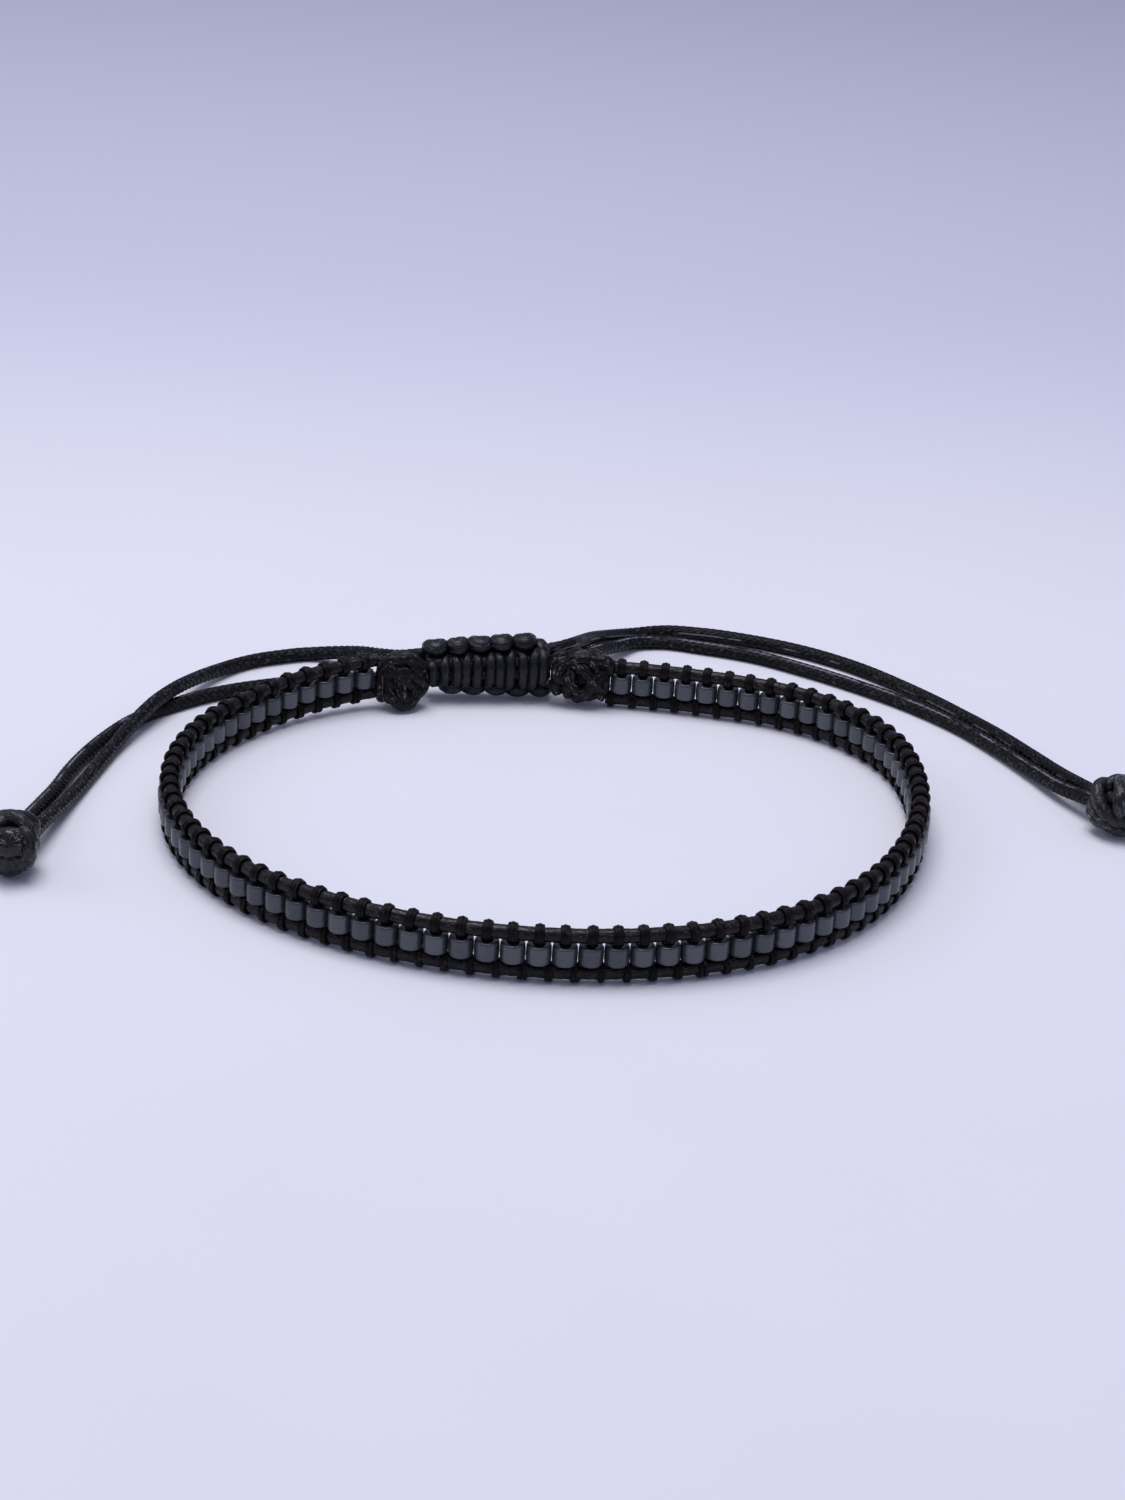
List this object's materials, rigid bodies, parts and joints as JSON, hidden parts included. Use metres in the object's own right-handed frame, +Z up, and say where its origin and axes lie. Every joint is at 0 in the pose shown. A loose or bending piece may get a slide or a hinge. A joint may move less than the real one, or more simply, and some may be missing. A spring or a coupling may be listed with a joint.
{
  "type": "beaded bracelet",
  "caption": "Wrist band of small upright cylinder beads laced between two cords, with a sliding knotted cord closure and knotted cord tails, standing on its edge.",
  "frame": {"origin": "on the surface that the bracelet stands on, under the middle of the box round the band, its knots and its closure; the loose tails and their knots don't count", "axes": "+Z up, along the beads' axes, +X to the right across the wrist opening, +Y to the back where the closure is"},
  "size_m": [0.0832, 0.064, 0.0057],
  "materials": {
    "edge_cord": "waxed braided cord, dark brown-black, slightly shiny",
    "beads": "matte gunmetal glass beads, a soft satin sheen",
    "lacing_thread": "black waxed thread",
    "knotted_cord": "waxed braided cord drawn up in knots, black-brown",
    "closure_cord": "waxed cord, near black, matte",
    "tail_cord": "waxed braided cord with a bright line of wax"
  },
  "bodies": {
    "root": {"upper_edge_cord": "edge_cord", "lower_edge_cord": "edge_cord", "beads": "beads", "lacing_thread": "lacing_thread", "left_band_knot": "knotted_cord", "right_band_knot": "knotted_cord", "sliding_closure": "closure_cord", "left_outer_tail": "tail_cord", "left_inner_tail": "tail_cord", "right_outer_tail": "tail_cord", "right_inner_tail": "tail_cord", "left_end_knot": "knotted_cord", "right_end_knot": "knotted_cord"}
  },
  "joints": []
}
